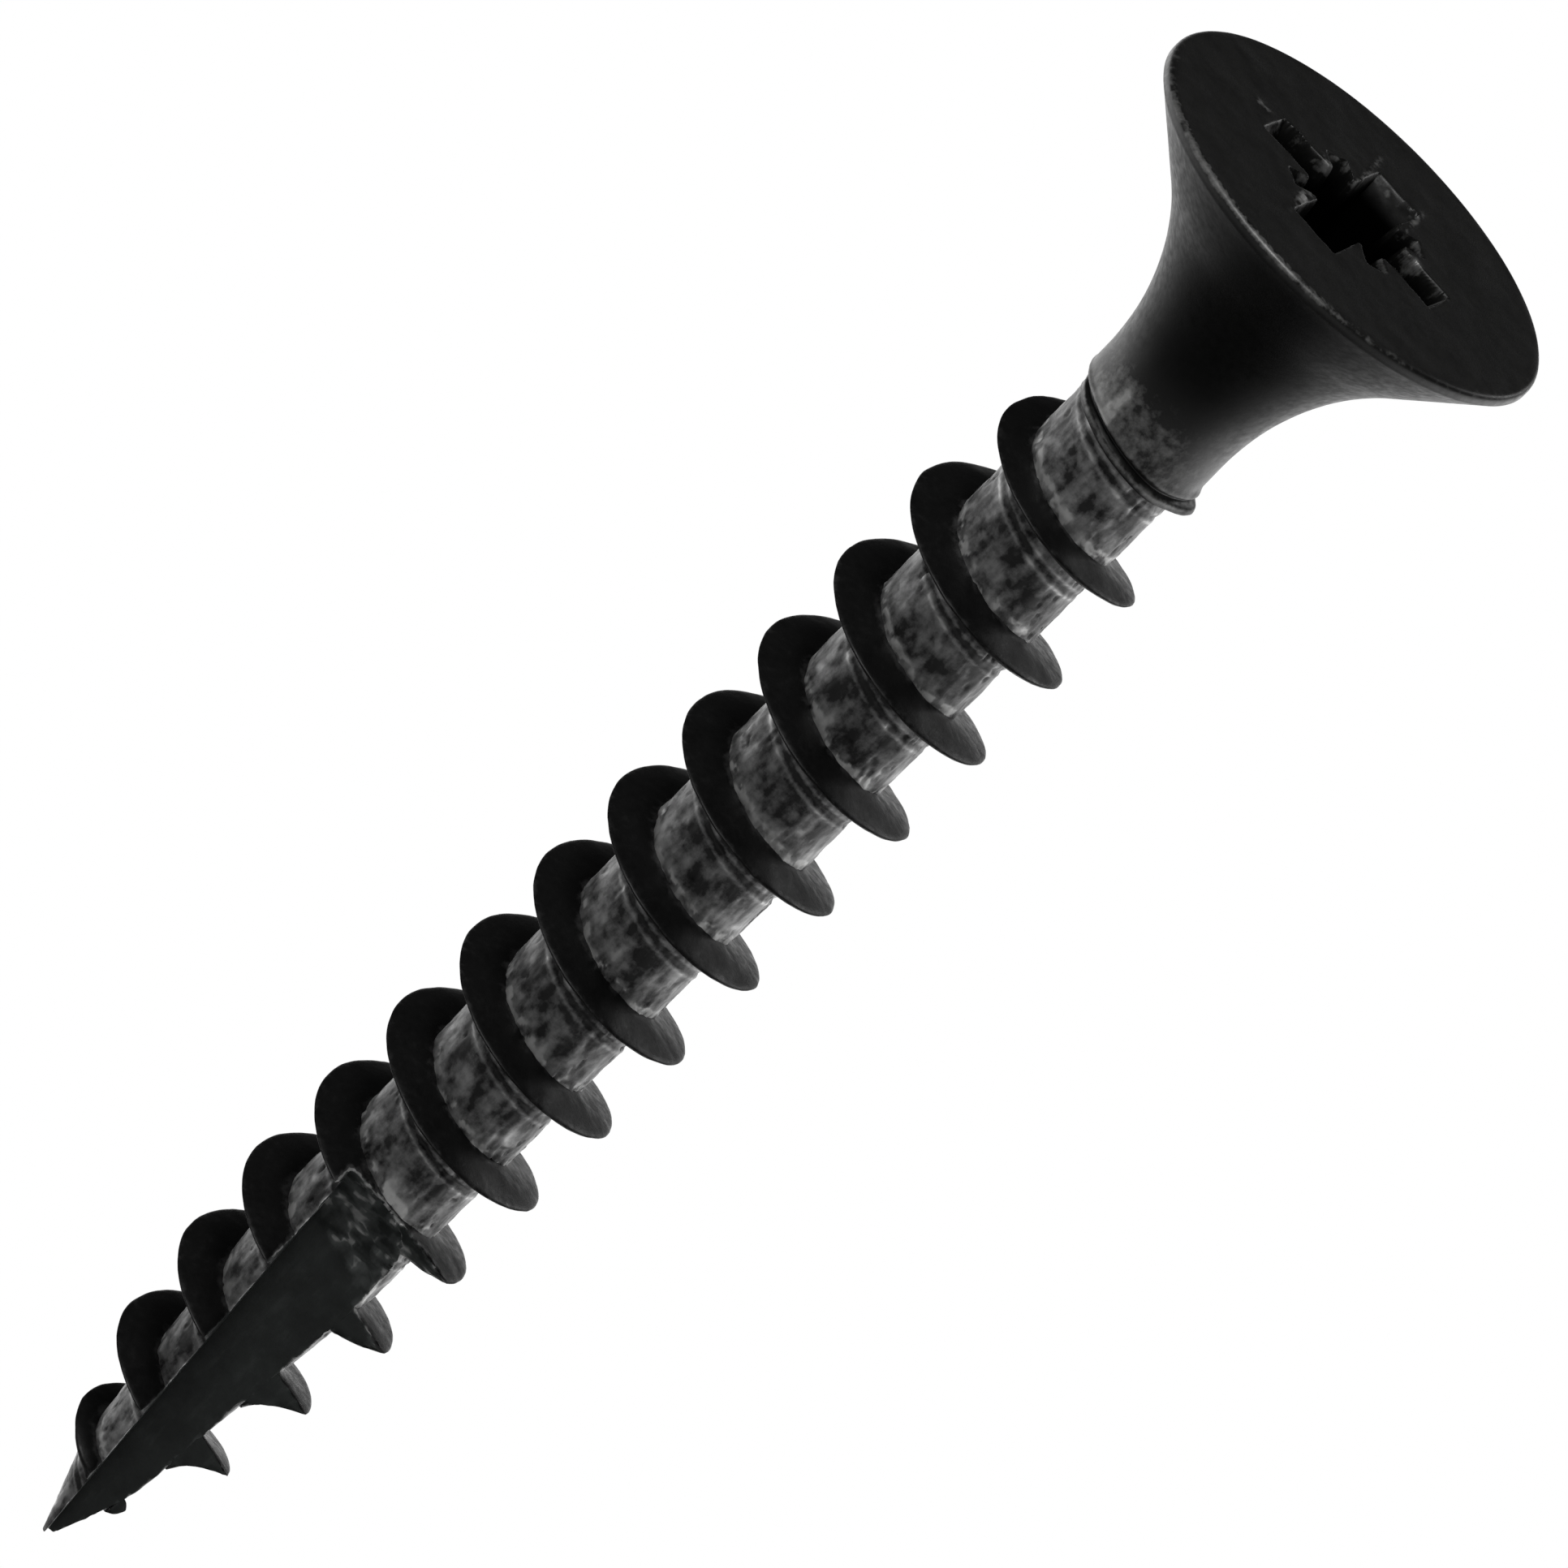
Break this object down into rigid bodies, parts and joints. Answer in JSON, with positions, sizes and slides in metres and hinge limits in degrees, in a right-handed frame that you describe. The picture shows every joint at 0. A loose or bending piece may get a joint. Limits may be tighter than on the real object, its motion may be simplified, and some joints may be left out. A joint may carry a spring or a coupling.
{
  "type": "countersunk wood screw",
  "caption": "Black countersunk wood screw with a flared head, cross recess, coarse thread and a slotted cutting point.",
  "frame": {"origin": "centre of the driver recess mouth, on the flat head top", "axes": "+Z out of the head along the screw's axis, so the tip points along -Z; the slot in the point opens towards +X and -Y"},
  "size_m": [0.0094, 0.0094, 0.04],
  "materials": {
    "blackened_steel": "black phosphate over rolled steel, satin, slightly worn to grey on the core"
  },
  "bodies": {
    "root": {"head": "blackened_steel", "neck": "blackened_steel", "core": "blackened_steel", "thread": "blackened_steel", "point": "blackened_steel"}
  },
  "joints": []
}
